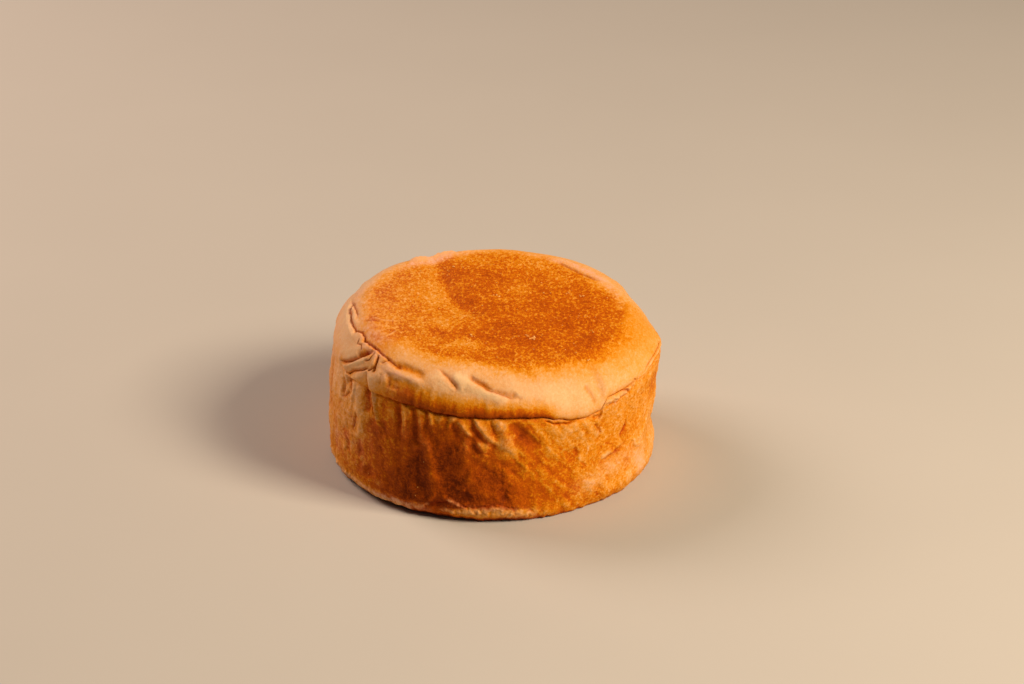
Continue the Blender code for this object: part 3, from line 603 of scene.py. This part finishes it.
folded += SWELL_HEIGHT * swells * (0.35 + 0.65 * on_side) * (1.0 - on_top)
relief = folded + broad + SLOW_HEIGHT * slow * (1.0 - 0.35 * on_top) + (0.05 + 0.04 * on_side) * grain
relief *= 1.0 - 0.85 * on_base
# the skin next to the crease keeps clear of it
relief *= 1.0 - 0.8 * np.exp(-((along - S_CREASE) / 0.6) ** 2)
skin = skin + normals * relief[:, None]
# the foot is cut flat by the griddle
skin[:, 2] = np.where(on_base > 0.5, np.maximum(skin[:, 2] - 0.05, 0.0), np.maximum(skin[:, 2], 0.0))

middle = 0.5 * (skin.min(0) + skin.max(0))
skin -= (middle[0], middle[1], 0.0)


def new_object(name, data):
    """An object that shows its data in the scene."""
    made = bpy.data.objects.new(name, data)
    bpy.context.scene.collection.objects.link(made)
    return made


bread_mesh = bpy.data.meshes.new("muffin_bread")
sheet.to_mesh(bread_mesh)
sheet.free()
bread_mesh.vertices.foreach_set("co", (skin * MM).astype(np.float32).ravel())
bread_mesh.update()
bread_mesh.shade_smooth()
bread = new_object("muffin_bread", bread_mesh)

# How brown the crust is, 0 to 1, going round and down, with painted shade in it: the rim's lower roll just
# above the crease and the lower side at the front left are browner where shade falls on them. Each row starts
# with its azimuth, and its columns are at the distances over the skin in BROWNING_DOWN
BROWNING_DOWN = (40, 44, 47, 50, 52, 53.2, 60, 68, 77)
BROWNING_AND_SHADE = (
    (-180, 0.26, 0.28, 0.36, 0.5, 0.6, 0.5, 0.55, 0.55, 0.5),
    (-140, 0.22, 0.24, 0.34, 0.44, 0.5, 0.44, 0.48, 0.5, 0.46),
    (-105, 0.1, 0.16, 0.24, 0.3, 0.34, 0.3, 0.36, 0.44, 0.5),
    (-85, 0.1, 0.14, 0.22, 0.29, 0.33, 0.3, 0.38, 0.46, 0.5),
    (-70, 0.24, 0.22, 0.26, 0.29, 0.32, 0.3, 0.36, 0.52, 0.54),
    (-53, 0.37, 0.27, 0.2, 0.4, 0.52, 0.4, 0.42, 0.51, 0.56),
    (-40, 0.28, 0.37, 0.49, 0.61, 0.72, 0.6, 0.55, 0.74, 0.77),
    (-28, 0.24, 0.36, 0.58, 0.77, 0.84, 0.48, 0.77, 0.88, 0.95),
    (-15, 0.15, 0.2, 0.52, 0.8, 0.9, 0.46, 0.78, 0.88, 0.91),
    (5, 0.16, 0.13, 0.42, 0.82, 0.95, 0.5, 0.62, 0.71, 0.8),
    (14, 0.2, 0.14, 0.36, 0.74, 0.92, 0.44, 0.5, 0.58, 0.64),
    (24, 0.24, 0.12, 0.14, 0.26, 0.58, 0.46, 0.46, 0.57, 0.6),
    (45, 0.42, 0.34, 0.27, 0.3, 0.4, 0.4, 0.45, 0.53, 0.42),
    (75, 0.46, 0.42, 0.38, 0.36, 0.42, 0.5, 0.48, 0.46, 0.38),
    (110, 0.28, 0.34, 0.4, 0.42, 0.5, 0.48, 0.52, 0.54, 0.5),
    (145, 0.28, 0.32, 0.38, 0.46, 0.56, 0.5, 0.56, 0.58, 0.54),
    (180, 0.26, 0.28, 0.36, 0.5, 0.6, 0.5, 0.55, 0.55, 0.5),
)
# Patches browner (or, if negative, paler) than their surroundings: azimuth, distance over the skin, half
# size round and down in mm, amount. Some are painted shade and light: browner in hollows and where the crease
# ends at the front right, paler on the shaded lower side of the rim's folds
BROWN_AND_SHADE_PATCHES = (
    # the griddled top: darkest at the middle and right, golden at the left and front left
    (10, 9, 7, 5, 0.09), (75, 22, 12, 9, 0.05), (52, 30.5, 4.5, 2.6, 0.12), (-108, 22, 12, 9, -0.09),
    (-52, 18, 7, 4, -0.14), (-35, 28, 8, 4, -0.08), (-19, 24, 3.4, 2.4, -0.16), (-44, 22.2, 3.4, 2, 0.2),
    (-74.6, 34, 2.2, 1.3, 0.2), (-62, 37.2, 9, 2.8, 0.22), (-85, 37.5, 4, 2, 0.08),
    (178, 28.5, 18, 3.6, -0.12), (140, 12, 7, 4, -0.08), (-34, 46.5, 5, 2.4, 0.04), (35, 22, 20, 10, 0.05),
    (-5, 28, 15, 5, -0.04), (-84, 30, 10, 5, -0.06), (-50, 26, 6, 4, -0.05), (-36, 12, 6, 4, -0.03),
    (-10, 5, 5, 3, -0.03), (-66.6, 48.7, 3.2, 0.7, 0.16), (-56, 42.4, 2.2, 1, 0.22),
    (-40.6, 46, 0.9, 2.2, 0.07), (-32, 17.6, 3.4, 2.6, 0.1), (22, 37, 6, 2, 0.08), (30, 52, 2.4, 0.9, 0.2),
    (-50, 40, 3.6, 1, 0.1), (-50, 47.6, 3.4, 2, -0.05), (-17.6, 41.2, 2.2, 0.9, 0.1),
    (-15.3, 42.5, 1.4, 0.8, 0.1), (-4.6, 44.5, 5.5, 1.3, -0.1), (-14, 40.4, 3, 1.2, -0.04),
    (-4, 38.8, 7, 1.6, 0.04), (-4, 41.6, 3.6, 0.9, 0.12), (2.4, 43.4, 2.8, 0.7, 0.1),
    (-36, 41.2, 4.6, 1, 0.14),
    # the side
    (10, 58.6, 2.8, 3, 0.15), (-50, 55, 1.6, 3.4, 0.13), (-15, 67, 2.6, 7, -0.05),
    (-22.6, 60, 1.3, 3.4, 0.04), (-6, 57.4, 0.9, 3, 0.12), (10, 53.6, 5, 1.4, 0.1),
    (-18, 53.4, 6, 1.2, 0.08), (-20, 60, 3, 2, -0.05), (75, 61, 6, 5, 0.12), (-66, 63, 1.6, 1.2, 0.12),
    (-57, 64, 1.4, 2, 0.14), (-60, 70, 1.8, 1.4, 0.12), (-52, 70, 1.5, 2.6, 0.14), (-44, 67, 1.2, 3, 0.12),
    (-72, 69, 1.6, 1.8, 0.1), (-50, 77, 2, 1.6, 0.1), (-66, 76, 2.4, 1.5, 0.1), (-58, 59, 1.6, 1.3, 0.08),
    (-8, 76.4, 1.6, 1.8, 0.12), (3.8, 76.4, 2, 2, 0.14), (7.4, 71, 1.4, 1.2, -0.1),
    (8.4, 63.6, 1.6, 1.4, -0.1), (-32, 67.5, 5, 2.2, -0.08), (63, 79, 3, 3, -0.16),
    (46.4, 74.2, 4.4, 2.4, -0.11), (18, 57, 8, 2.4, -0.08), (34.8, 76.7, 3, 2.2, -0.09),
    (59, 76, 3, 2.4, -0.08), (43.3, 70.7, 1.8, 0.6, -0.2), (48.7, 71.2, 1.7, 0.8, 0.14),
    (50.3, 62.5, 2.6, 1.8, 0.1), (53.6, 76.1, 1.4, 1.8, 0.1), (42.2, 77.8, 2.2, 1.4, 0.06),
    (51.8, 66.7, 1.4, 1.2, 0.1), (28, 77.3, 1.6, 1.8, 0.08), (52, 82, 12, 1.4, 0.12),
    (30.3, 65.7, 0.9, 2, 0.07), (33, 70.2, 1.2, 1.6, 0.12), (-56.7, 71.5, 1.1, 0.8, -0.16),
    (-50.3, 74.1, 0.6, 1.6, -0.18), (-32.1, 70.1, 0.6, 1.1, -0.22), (-42.1, 78.5, 1, 0.7, -0.24),
    (-39.3, 75.3, 1, 0.8, -0.14), (-33.2, 64.5, 0.5, 2, -0.12), (-52.2, 66.7, 1.4, 3, -0.1),
    (27.1, 62.5, 3, 2.6, -0.04), (-39.8, 62.1, 0.9, 0.9, 0.14), (-41.5, 68.1, 0.8, 0.8, 0.12),
    (-14.1, 59.7, 2.6, 2.2, -0.1), (-41.5, 73.6, 3, 3, 0.05), (-0.7, 71.5, 4, 3, 0.03),
    (-73.4, 44.6, 5, 1.8, -0.08), (-98, 39, 4, 1.6, 0.09), (-24.8, 70.5, 1.6, 3.6, -0.06),
    (-8, 76.3, 2, 1.4, -0.06), (4.4, 75.8, 1.6, 1.4, -0.06), (-4.1, 72.5, 1.6, 1.6, 0.04),
    (10.5, 62.5, 2, 1.8, 0.07), (9.2, 54.6, 3, 1, -0.08), (-5.3, 69.4, 2, 3, 0.07),
    (0, 74.6, 2.2, 1.6, 0.07), (10.7, 79.1, 3, 1.4, 0.07), (16.2, 67.1, 2, 2, 0.05),
    (22, 80.1, 2.6, 1.6, -0.08), (27, 58.4, 2.6, 2, -0.05), (-22.1, 79.9, 2.6, 1, 0.08),
    (-34.5, 66.8, 2.4, 2, 0.04), (-21.7, 63.9, 2.2, 2, 0.05), (7.4, 62.4, 1.8, 1.8, -0.1),
    (-8, 56, 3, 2, -0.06), (74, 68, 5, 5, -0.08),
)
# Where the skin is dry and floury or torn open, in the same form; a few are painted light instead, lifting the
# shade on a strip of the rim at the left front
DRY_AND_LIGHT_PATCHES = (
    (-94, 54, 19, 20, 0.36), (-62, 37.6, 8, 3, 0.35), (-60, 66, 9, 9, 0.14), (132, 33.9, 13, 1.1, 0.8),
    (-52, 41.2, 5, 1.2, 0.5), (-41, 47, 5, 3.4, 0.1), (-69.6, 73.3, 2.4, 3, 0.3),
    (-56.7, 71.5, 1.2, 0.9, 0.25), (-50.3, 74.1, 0.7, 1.8, 0.15), (-42.1, 78.5, 1.2, 0.8, 0.12),
    (-52.2, 66.7, 1.6, 3, 0.12), (-42.8, 43.6, 2.6, 1.6, 0.35), (-37, 43.6, 6, 0.8, 0.4),
    (-147.5, 33.9, 8, 1.3, 1.2), (-104, 39.2, 5, 1.4, 0.3), (62.5, 79, 2.4, 2.4, 0.5),
    (46.4, 74.2, 5, 2.4, 0.22), (34.8, 76.7, 4, 2.4, 0.16), (58.8, 75, 4, 3, 0.2),
)
# Edge of the browned disc on the top: azimuth and distance over the skin
DISC_EDGE = ((-180, 34), (-150, 32), (-122, 34.5), (-95, 36), (-76, 35), (-64, 33.5), (-48, 33.5),
             (-27, 34.5), (-10, 36), (10, 37), (25, 37.5), (46, 37.8), (64, 37), (79, 35.4), (99, 34),
             (119, 32), (147, 32.5), (180, 34))
DISC_FADE = 8.8
# Distances in mm over the skin of the lip round the foot, of its dusty crest, and of the skin tucked under it
LIP_FROM = 79.9
LIP_CREST = 81.9
LIP_TO = 82.4
TUCKED_FROM = 82.9
# How brown the griddled top and base are and the lip round the foot, and how dark the skin tucked under it is
# painted, as painted shade under the foot
TOP_BROWN = 0.645
BASE_BROWN = 0.66
LIP_BROWN = 0.42
TUCKED_SHADE_BROWN = 1.05
# The values that the crust material reads from the mesh
CRUST_VALUES = ("toast_and_shade", "flour_and_highlight", "torn", "crevice_shade", "coarse")


def patches(azimuth, s, places):
    """Soft patches added up at each point of the skin."""
    total = np.zeros(len(s))
    per_degree = math.radians(1.0) * np.interp(s, outline_s, outline_r)
    for az_0, s_0, half_round, half_down, amount in places:
        turn = degrees_from(azimuth, az_0) * per_degree / half_round
        total += amount * np.exp(-turn * turn - ((s - s_0) / half_down) ** 2)
    return total


def interpolated(azimuth, s):
    """Browning and painted shade by place, eased between the rows and columns of the table."""
    rows = np.array(BROWNING_AND_SHADE)
    row = np.clip(np.searchsorted(rows[:, 0], azimuth) - 1, 0, len(rows) - 2)
    round_part = ease((azimuth - rows[row, 0]) / (rows[row + 1, 0] - rows[row, 0]))
    down = np.interp(s, BROWNING_DOWN, np.arange(len(BROWNING_DOWN)))
    column = np.minimum(down.astype(int), len(BROWNING_DOWN) - 2)
    down_part = down - column
    upper, lower = (rows[row, column + step] * (1.0 - round_part) + rows[row + 1, column + step] * round_part
                    for step in (1, 2))
    return upper * (1.0 - down_part) + lower * down_part


ragged = 0.8 * lumps(skin, 7.0, 3, 31.0) + 0.5 * lumps(skin, 2.0, 2, 37.0)
streaks = lumps(upright * (1.0, 1.0, 0.5), 2.4, 3, 41.0)
edge = going_round(azimuth, *DISC_EDGE)
disc = 1.0 - ease((along - edge + 0.5 * DISC_FADE - 2.0 * ragged) / DISC_FADE)
foot_band = ease((along - LIP_FROM - 0.9 * ragged) / 0.8) * (1.0 - ease((along - LIP_TO) / 0.8))
foot_band *= going_round(
    azimuth, (-90, 0.7), (-40, 0.6), (-30, 0.5), (-18, 0.4), (-9, 0.9), (6, 0.9), (22, 0))
# painted shade: the skin tucked under the foot is painted dark brown, as the shade beneath it
shade_under_foot = ease((along - TUCKED_FROM) / 1.2) * (1.0 - on_base)
shade_under_foot *= going_round(azimuth, (-90, 0.9), (-30, 1), (0, 0.8), (20, 0.2))
toast_and_shade = interpolated(azimuth, along)
toast_and_shade += (TOP_BROWN + 0.07 * lumps(skin, 4.4, 3, 47.0) - toast_and_shade) * disc
toast_and_shade += foot_band * (LIP_BROWN - toast_and_shade) * 0.85
toast_and_shade += shade_under_foot * (TUCKED_SHADE_BROWN - toast_and_shade)
toast_and_shade += (BASE_BROWN - toast_and_shade) * on_base
toast_and_shade += patches(azimuth, along, BROWN_AND_SHADE_PATCHES) + 0.04 * slow + 0.05 * streaks * on_side
# painted light and shade: raised folds and pleats are painted paler and hollows browner, as light catches the
# one and shade gathers in the other
toast_and_shade -= 0.10 * rim_pleats + 0.10 * slanting
toast_and_shade -= 0.32 * np.clip(folded, -0.5, 0.5) * (1.0 - disc) * (1.0 - 0.6 * foot_band)
# painted light and shade: the top is painted browner to the right of its long dent than to the left, as the
# light falls on the dent's two slopes
dent_away, dent_side, dent_place = along_course(azimuth + 0.8 * sway, along, DENT)
dent_end = ease((1.0 - dent_place) / 0.5)
toast_and_shade += 0.13 * disc * np.tanh(dent_side * dent_away / 1.2) * np.exp(-dent_away / 6.5) * dent_end

# floury dust on the patches and on the lip round the foot, and a painted highlight in the same pale colour on
# the tops of the folds below the crease
dusty_lip = np.exp(-((along - LIP_CREST - 0.4 * ragged) / 0.75) ** 2)
dusty_lip *= going_round(azimuth, (-112, 0), (-95, 1), (-32, 1), (-20, 0))
below_crease = ease((along - S_CREASE) / 0.8) * (1.0 - ease((along - 57.0) / 9.0))
below_crease *= going_round(azimuth, (-60, 0), (-40, 1), (8, 1), (26, 0))
flour_and_highlight = patches(azimuth, along, DRY_AND_LIGHT_PATCHES) * (1.0 + 0.9 * grain) + dusty_lip * (0.7 + 1.1 * crumbs)
flour_and_highlight = np.clip(flour_and_highlight + 0.28 * np.clip(folded, 0.0, 0.6) * below_crease, 0.0, 1.0)

# painted shade: the crease is painted dark like the cracks and hollows, fainter where the rim is pinched at
# the left
share = going_round(azimuth, *((stop[0], stop[2]) for stop in CREASE_COURSE))
share = np.minimum(1.3 * share, 1.0) * going_round(azimuth, (-60, 1), (-48, 0.4), (-26, 0.5), (-18, 1))
crease_half_width = np.where(along < S_CREASE, 1.2, 1.25)
crevice_shade = np.maximum(0.8 * crevice_shade, np.exp(-((along - S_CREASE) / crease_half_width) ** 2) * share)

# the skin is coarse where the griddle touched it, and at the left and right of the side
side_grit = going_round(
    azimuth, (-130, 0.4), (-95, 0.5), (-50, 0.5), (-28, 0.25), (12, 0.25), (36, 0.7), (80, 0.7), (120, 0.4))
coarse = np.maximum(np.maximum(disc, on_base), on_side * side_grit)
for name, values in zip(CRUST_VALUES, (toast_and_shade, flour_and_highlight, np.clip(torn, 0.0, 1.0), crevice_shade, coarse)):
    attribute = bread_mesh.attributes.new(name, "FLOAT", "POINT")
    attribute.data.foreach_set("value", values.astype(np.float32))


def linear(hex_colour):
    """An sRGB hex colour as linear RGBA."""
    parts = [int(hex_colour[i:i + 2], 16) / 255.0 for i in (1, 3, 5)]
    return [c / 12.92 if c <= 0.04045 else ((c + 0.055) / 1.055) ** 2.4 for c in parts] + [1.0]


def add_node(material, kind, inputs=None, **settings):
    """Adds a node with its settings, and fills its inputs with values or with other nodes' outputs."""
    node = material.node_tree.nodes.new(kind)
    for name, value in settings.items():
        setattr(node, name, value)
    for name, value in (inputs or {}).items():
        if isinstance(value, bpy.types.NodeSocket):
            material.node_tree.links.new(value, node.inputs[name])
        else:
            node.inputs[name].default_value = value
    return node


def empty_material(name):
    """A node material with nothing in it."""
    material = bpy.data.materials.new(name)
    material.use_nodes = True
    material.node_tree.nodes.clear()
    return material


MOTTLE_SIZE = 5.0
SPECK_SIZE = 0.9
GRAIN_SIZE = 0.5
# from pale skin to dark crust
BROWNS = ((0.00, "#F3C895"), (0.20, "#F1B67C"), (0.36, "#EBA24A"), (0.50, "#E28B0C"), (0.64, "#C96104"),
          (0.78, "#B04D04"), (0.90, "#943D04"), (1.00, "#6E2903"))
# the pale colour of floury dust, also used for the painted highlight on the folds below the crease
FLOUR_AND_HIGHLIGHT_TINT = "#EEB292"
TORN_DOUGH = "#F0B272"
# painted shade in creases, cracks and hollows
CREVICE_SHADE = "#A43806"


def baked_crust():
    """Griddled bread crust: a dry, faintly waxy skin. Browning runs from cream through gold to dark brown, and
    its creases, cracks and hollows carry painted shade.
    """
    m = empty_material("baked_crust")
    place = add_node(m, "ShaderNodeTexCoord").outputs["Object"]
    # the specks and grain are drawn a little longer from front to back
    long_place = add_node(m, "ShaderNodeMapping", {"Vector": place, "Scale": (1.0, 0.7, 1.0)}).outputs[0]
    toast_and_shade, flour_and_highlight, torn, crevice_shade, coarse = (
        add_node(m, "ShaderNodeAttribute", attribute_name=name).outputs["Fac"] for name in CRUST_VALUES)

    # browning with a mottle, specks that stay golden in the brown (pale flecks of the crust that also stand in
    # for painted glints), and grain; specks and grain are stronger on coarse skin
    mottle = add_node(m, "ShaderNodeTexNoise", {
        "Vector": place, "Scale": 1000.0 / MOTTLE_SIZE, "Detail": 3.0}).outputs["Fac"]
    specks = add_node(m, "ShaderNodeTexNoise", {
        "Vector": long_place, "Scale": 1000.0 / SPECK_SIZE, "Detail": 3.0, "Roughness": 0.65,
        "Distortion": 0.3}).outputs["Fac"]
    grain = add_node(m, "ShaderNodeTexNoise", {
        "Vector": long_place, "Scale": 1000.0 / GRAIN_SIZE, "Detail": 2.0, "Roughness": 0.7}).outputs["Fac"]
    golden = add_node(m, "ShaderNodeMapRange", {
        "Value": specks, "From Min": 0.47, "From Max": 0.70, "To Min": 0.10, "To Max": -0.90}).outputs[0]
    share = add_node(m, "ShaderNodeMath", {0: coarse, 1: 0.15, 2: 0.12}, operation="MULTIPLY_ADD").outputs[0]
    browning = add_node(m, "ShaderNodeMath", {0: golden, 1: share, 2: toast_and_shade},
                        operation="MULTIPLY_ADD").outputs[0]
    share = add_node(m, "ShaderNodeMath", {0: coarse, 1: 0.22, 2: 0.34}, operation="MULTIPLY_ADD").outputs[0]
    for pattern, strength in ((mottle, 0.12), (grain, share)):
        centred = add_node(m, "ShaderNodeMath", {0: pattern, 1: 0.5}, operation="SUBTRACT").outputs[0]
        browning = add_node(m, "ShaderNodeMath", {0: centred, 1: strength, 2: browning},
                            operation="MULTIPLY_ADD").outputs[0]

    ramp = add_node(m, "ShaderNodeValToRGB", {"Fac": browning})
    elements = ramp.color_ramp.elements
    while len(elements) < len(BROWNS):
        elements.new(0.5)
    for element, (position, colour) in zip(elements, BROWNS):
        element.position = position
        element.color = linear(colour)
    # floury dust, which also carries the painted highlight on the folds below the crease
    flour_and_highlight_share = add_node(m, "ShaderNodeMapRange", {
        "Value": specks, "From Min": 0.38, "From Max": 0.64, "To Min": 0.35, "To Max": 1.55}).outputs[0]
    flour_and_highlight_share = add_node(m, "ShaderNodeMath", {0: flour_and_highlight, 1: flour_and_highlight_share},
                     operation="MULTIPLY", use_clamp=True).outputs[0]
    crumbly = add_node(m, "ShaderNodeMath", {0: torn, 1: 0.9}, operation="MULTIPLY").outputs[0]
    # painted shade: creases, cracks and hollows are mixed towards a dark red-brown
    crevice_shade_share = add_node(m, "ShaderNodeMath", {0: crevice_shade, 1: 0.8}, operation="MULTIPLY").outputs[0]
    colour = ramp.outputs["Color"]
    for share, tint in ((flour_and_highlight_share, FLOUR_AND_HIGHLIGHT_TINT), (crumbly, TORN_DOUGH), (crevice_shade_share, CREVICE_SHADE)):
        colour = add_node(m, "ShaderNodeMix", {0: share, 6: colour, 7: linear(tint)},
                          data_type="RGBA").outputs[2]

    rough = add_node(m, "ShaderNodeMapRange", {"Value": grain, "To Min": 0.50, "To Max": 0.70}).outputs[0]
    strength = add_node(m, "ShaderNodeMapRange", {"Value": coarse, "To Min": 0.35, "To Max": 0.8}).outputs[0]
    bump = add_node(m, "ShaderNodeBump", {"Height": grain, "Strength": strength, "Distance": 0.00022})
    bump = add_node(m, "ShaderNodeBump", {"Height": specks, "Strength": strength, "Distance": 0.0004,
                                          "Normal": bump.outputs[0]})
    shader = add_node(m, "ShaderNodeBsdfPrincipled", {
        "Base Color": colour, "Roughness": rough, "IOR": 1.45, "Specular IOR Level": 0.07,
        "Normal": bump.outputs[0],
        "Subsurface Weight": 0.03, "Subsurface Scale": 0.001, "Subsurface Radius": (2.2, 0.9, 0.35)})
    add_node(m, "ShaderNodeOutputMaterial", {"Surface": shader.outputs[0]})
    return m


bread_mesh.materials.append(baked_crust())
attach(bread, "root")
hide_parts("muffin")

# ---------------------------------------------------------------------------------------------------------
# Semolina: pale grains of the coarse meal the dough was dusted with, baked onto the browned top, most of them
# alone and some in clusters, and a few on the side at the left front. Each is a small uneven lump half sunk
# in the crust; all are joined in one mesh.

LONE_GRAINS = 150
LONE_REACH = 35.5
LONE_RADIUS = (0.11, 0.24)
SIDE_GRAINS = 18
SIDE_RADIUS = 0.13
# azimuth and distance over the skin of a cluster, its spread in mm, how many grains, and their mean radius
CLUSTERS = (
    (26, 20.8, 0.55, 8, 0.3), (25, 18.6, 0.3, 3, 0.24), (14, 18.5, 0.6, 3, 0.2), (61, 29, 0.5, 3, 0.26),
    (39, 38.4, 0.6, 2, 0.22), (-20, 24.6, 1.2, 4, 0.2), (-20, 19.4, 0.6, 3, 0.22), (-176, 7, 0.5, 3, 0.28),
    (116, 21.6, 0.4, 3, 0.28), (108, 24.2, 0.4, 3, 0.26), (-150, 27, 0.8, 5, 0.24), (78, 25, 0.6, 4, 0.22),
)
SUNK = 0.35
FLATTENED = 0.62
TINT_SIZE = 2.5

draw = random.Random(29)


def grain_places():
    """Azimuth, distance over the skin and radius of every grain."""
    for _ in range(SIDE_GRAINS):
        yield draw.uniform(-86.0, -24.0), draw.uniform(62.0, 81.0), SIDE_RADIUS * draw.uniform(0.6, 1.5)
    for az, s, spread, count, radius in CLUSTERS:
        for _ in range(count):
            yield (az + math.degrees(draw.gauss(0.0, spread) / s), s + draw.gauss(0.0, spread),
                   radius * draw.uniform(0.7, 1.3))
    smallest, largest = LONE_RADIUS
    for _ in range(LONE_GRAINS):
        yield (draw.uniform(-180.0, 180.0), LONE_REACH * math.sqrt(draw.random()),
               smallest + (largest - smallest) * draw.random() ** 2)


grains = bmesh.new()
for az, s, radius in grain_places():
    gap = np.hypot(np.radians(degrees_from(azimuth, az)) * s, along - s)
    nearest = int(np.argmin(gap))
    up = bread_mesh.vertices[nearest].normal
    centre = bread_mesh.vertices[nearest].co + up * (FLATTENED - SUNK) * radius * MM
    turn = up.to_track_quat("Z", "Y").to_matrix() @ Matrix.Rotation(draw.uniform(0.0, math.tau), 3, "Z")
    stretch = Vector((draw.uniform(0.8, 1.35), draw.uniform(0.7, 1.0), FLATTENED))
    for vertex in bmesh.ops.create_icosphere(grains, subdivisions=2, radius=1.0)["verts"]:
        uneven = 1.0 + 0.30 * noise.noise(vertex.co * 1.4 + Vector((s, az, radius)) * 3.1)
        vertex.co = centre + turn @ (vertex.co * stretch) * (uneven * radius * MM)
grain_mesh = bpy.data.meshes.new("semolina_grains")
grains.to_mesh(grain_mesh)
grains.free()
grain_mesh.shade_smooth()
semolina = new_object("semolina_grains", grain_mesh)


def toasted_semolina():
    """Dry, matt, toasted meal: pale flecks, some creamy and some golden, that catch the light."""
    m = empty_material("toasted_semolina")
    place = add_node(m, "ShaderNodeTexCoord").outputs["Object"]
    tint = add_node(m, "ShaderNodeTexNoise", {
        "Vector": place, "Scale": 1000.0 / TINT_SIZE, "Detail": 1.0}).outputs["Fac"]
    tint = add_node(m, "ShaderNodeMapRange", {"Value": tint, "From Min": 0.35, "From Max": 0.65}).outputs[0]
    colour = add_node(m, "ShaderNodeMix", {0: tint, 6: linear("#D98A34"), 7: linear("#F6BE70")},
                      data_type="RGBA")
    shader = add_node(m, "ShaderNodeBsdfPrincipled", {
        "Base Color": colour.outputs[2], "Roughness": 0.7, "IOR": 1.45, "Specular IOR Level": 0.1})
    add_node(m, "ShaderNodeOutputMaterial", {"Surface": shader.outputs[0]})
    return m


grain_mesh.materials.append(toasted_semolina())
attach(semolina, "root")

# ---------------------------------------------------------------------------------------------------------
# The studio: a plain pale floor, a large soft key light from the front right, a weak soft fill from behind
# the left, and the camera a little above the bread, looking down on it.

FLOOR_SIZE = 3.0
FLOOR_MOTTLE = 71.43
SKY_STRENGTH = 0.05


def pale_floor():
    """Matt pale floor with a barely visible mottle."""
    m = empty_material("pale_floor")
    place = add_node(m, "ShaderNodeTexCoord").outputs["Object"]
    mottle = add_node(m, "ShaderNodeTexNoise", {
        "Vector": place, "Scale": 1000.0 / FLOOR_MOTTLE, "Detail": 2.0}).outputs["Fac"]
    shade = add_node(m, "ShaderNodeMix", {0: mottle, 6: linear("#C2BDB6"), 7: linear("#C6C1BA")},
                     data_type="RGBA")
    shader = add_node(m, "ShaderNodeBsdfPrincipled", {"Base Color": shade.outputs[2], "Roughness": 0.85})
    add_node(m, "ShaderNodeOutputMaterial", {"Surface": shader.outputs[0]})
    return m


half = 0.5 * FLOOR_SIZE
floor_mesh = bpy.data.meshes.new("floor")
floor_mesh.from_pydata([(-half, -half, 0.0), (half, -half, 0.0), (half, half, 0.0), (-half, half, 0.0)], [],
                       [(0, 1, 2, 3)])
floor_mesh.materials.append(pale_floor())
floor = new_object("floor", floor_mesh)


def place_at(azimuth_deg, elevation_deg, distance, centre):
    """A point at an azimuth from the front, an elevation and a distance from a centre."""
    turn, lift = math.radians(azimuth_deg), math.radians(elevation_deg)
    return centre + distance * Vector((math.cos(lift) * math.sin(turn), -math.cos(lift) * math.cos(turn),
                                       math.sin(lift)))


def soft_light(name, azimuth_deg, elevation_deg, distance, size, watts, colour):
    """A square soft box that faces the bread."""
    lamp = bpy.data.lights.new(name, "AREA")
    lamp.shape = "SQUARE"
    lamp.size = size
    lamp.energy = watts
    lamp.color = linear(colour)[:3]
    light = new_object(name, lamp)
    target = Vector((0.0, 0.0, 0.02))
    light.location = place_at(azimuth_deg, elevation_deg, distance, target)
    light.rotation_euler = (target - light.location).to_track_quat("-Z", "Y").to_euler()


soft_light("key", 62.0, 39.0, 0.9, 0.30, 9.6, "#FFEACC")
soft_light("fill", -122.0, 38.0, 1.0, 0.50, 7.1, "#FFE3D0")

world = bpy.data.worlds.new("studio")
bpy.context.scene.world = world
world.use_nodes = True
world.node_tree.nodes["Background"].inputs["Color"].default_value = linear("#FFF6EC")
world.node_tree.nodes["Background"].inputs["Strength"].default_value = SKY_STRENGTH

CAMERA_ELEVATION = 27.5
CAMERA_DISTANCE = 0.7856
LENS = 100.0
# the point that the camera aims at, from the middle of the foot
AIM = Vector((0.00552, 0.0, 0.03146))

foot_middle = Vector((-middle[0] * MM, -middle[1] * MM, 0.0))
camera_data = bpy.data.cameras.new("camera")
camera_data.lens = LENS
camera_data.sensor_width = 36.0
camera = new_object("camera", camera_data)
camera.location = place_at(0.0, CAMERA_ELEVATION, CAMERA_DISTANCE, foot_middle)
camera.rotation_euler = (foot_middle + AIM - camera.location).to_track_quat("-Z", "Y").to_euler()
bpy.context.scene.camera = camera
bpy.context.scene.view_settings.view_transform = "Standard"
